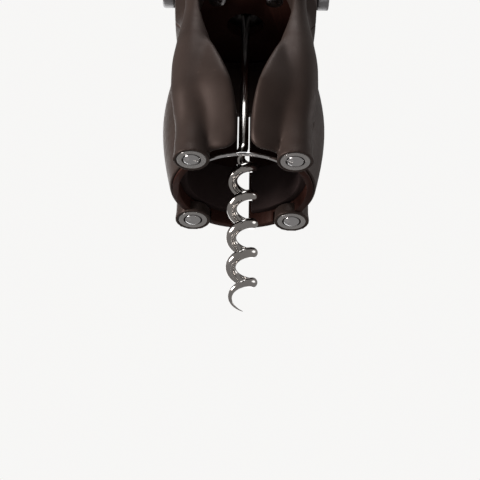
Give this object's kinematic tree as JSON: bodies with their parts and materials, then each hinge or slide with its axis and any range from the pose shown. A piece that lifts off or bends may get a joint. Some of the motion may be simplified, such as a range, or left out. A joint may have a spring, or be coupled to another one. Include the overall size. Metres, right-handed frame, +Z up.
{
  "type": "lever corkscrew",
  "caption": "Lever corkscrew with hinged neck jaws, a geared swing lever, a sliding carriage on guide rods and a spinning helical worm with a straight shank.",
  "frame": {"origin": "on the worm's axis, in the plane of the collar's lower edge, where the bottle's neck leaves the jaws", "axes": "+Z up along the worm and the bottle's neck, -Y towards the front window, the lever points to -Y when the worm is down, +X to the right"},
  "size_m": [0.0512, 0.1739, 0.1855],
  "materials": {
    "soft_touch": "soft-touch warm charcoal coating, fine grain",
    "inner_plastic": "moulded dark brown-black plastic, satin",
    "gloss_black": "gloss black plastic",
    "rubber": "black rubber, matt",
    "nylon": "natural nylon",
    "polished_steel": "polished stainless steel",
    "washer_steel": "mirror polished steel",
    "worm_steel": "polished hard steel wire",
    "screw_steel": "nickel-plated steel",
    "gear_steel": "machined sintered steel, lightly oiled",
    "coated_zinc": "die-cast zinc under a dark brown-black coat",
    "zinc_plate": "die-cast zinc, as cast and tumbled",
    "satin_alloy": "satin cast alloy",
    "bronze": "sintered bronze"
  },
  "bodies": {
    "frame": {"front_body": "soft_touch", "rear_cover": "soft_touch", "floor_plate": "inner_plastic", "top_plate": "zinc_plate", "top_cap": "gloss_black", "guide_rod_left": "polished_steel", "guide_rod_right": "polished_steel", "rack_left": "gear_steel", "rack_right": "gear_steel", "hinge_pin_left": "polished_steel", "hinge_pin_right": "polished_steel", "front_washers": "washer_steel", "tie_strap": "polished_steel", "cover_screws": "screw_steel", "cap_screws": "screw_steel", "rack_screws": "screw_steel", "end_stops": "rubber"},
    "jaw_left": {"jaw_left": "inner_plastic", "jaw_grip_left": "soft_touch", "jaw_pad_left": "rubber", "jaw_rivet_left": "polished_steel", "jaw_washer_left": "washer_steel", "hinge_bushes_left": "nylon"},
    "jaw_right": {"jaw_right": "inner_plastic", "jaw_grip_right": "soft_touch", "jaw_pad_right": "rubber", "jaw_rivet_right": "polished_steel", "jaw_washer_right": "washer_steel", "hinge_bushes_right": "nylon"},
    "carriage": {"carriage": "coated_zinc", "rod_bushes": "bronze", "axle_bushes": "bronze", "worm_bearing": "gear_steel"},
    "worm": {"worm": "worm_steel", "worm_spindle": "gear_steel", "worm_nut": "screw_steel"},
    "lever": {"axle": "polished_steel", "sector_left": "gear_steel", "sector_right": "gear_steel", "lever_fork": "satin_alloy", "lever_grip_top": "soft_touch", "lever_grip_bottom": "soft_touch", "lever_end_cap": "gloss_black", "axle_caps": "washer_steel", "grip_screws": "screw_steel"}
  },
  "joints": [
    {"name": "carriage_slide", "type": "slide", "parent": "frame", "child": "carriage", "axis": [0, 0, 1], "range_m": [0, 0.0566]},
    {"name": "lever_swing", "type": "hinge", "parent": "carriage", "child": "lever", "pos_m": [0, 0, 0.077], "axis": [-1, 0, 0], "range_deg": [0, 180]},
    {"name": "worm_spin", "type": "hinge", "parent": "carriage", "child": "worm", "pos_m": [0, 0, 0.0639], "axis": [0, 0, 1], "range_deg": [0, 2270]},
    {"name": "jaw_left_hinge", "type": "hinge", "parent": "frame", "child": "jaw_left", "pos_m": [-0.0135, -0.0144, 0.026], "axis": [0, 0, 1], "range_deg": [0, 24]},
    {"name": "jaw_right_hinge", "type": "hinge", "parent": "frame", "child": "jaw_right", "pos_m": [0.0135, -0.0144, 0.026], "axis": [0, 0, -1], "range_deg": [0, 24]}
  ],
  "couplings": [
    {"joint": "carriage_slide", "follows": "lever_swing", "m_per_rad": 0.018},
    {"joint": "worm_spin", "follows": "lever_swing", "ratio": 12.566}
  ]
}
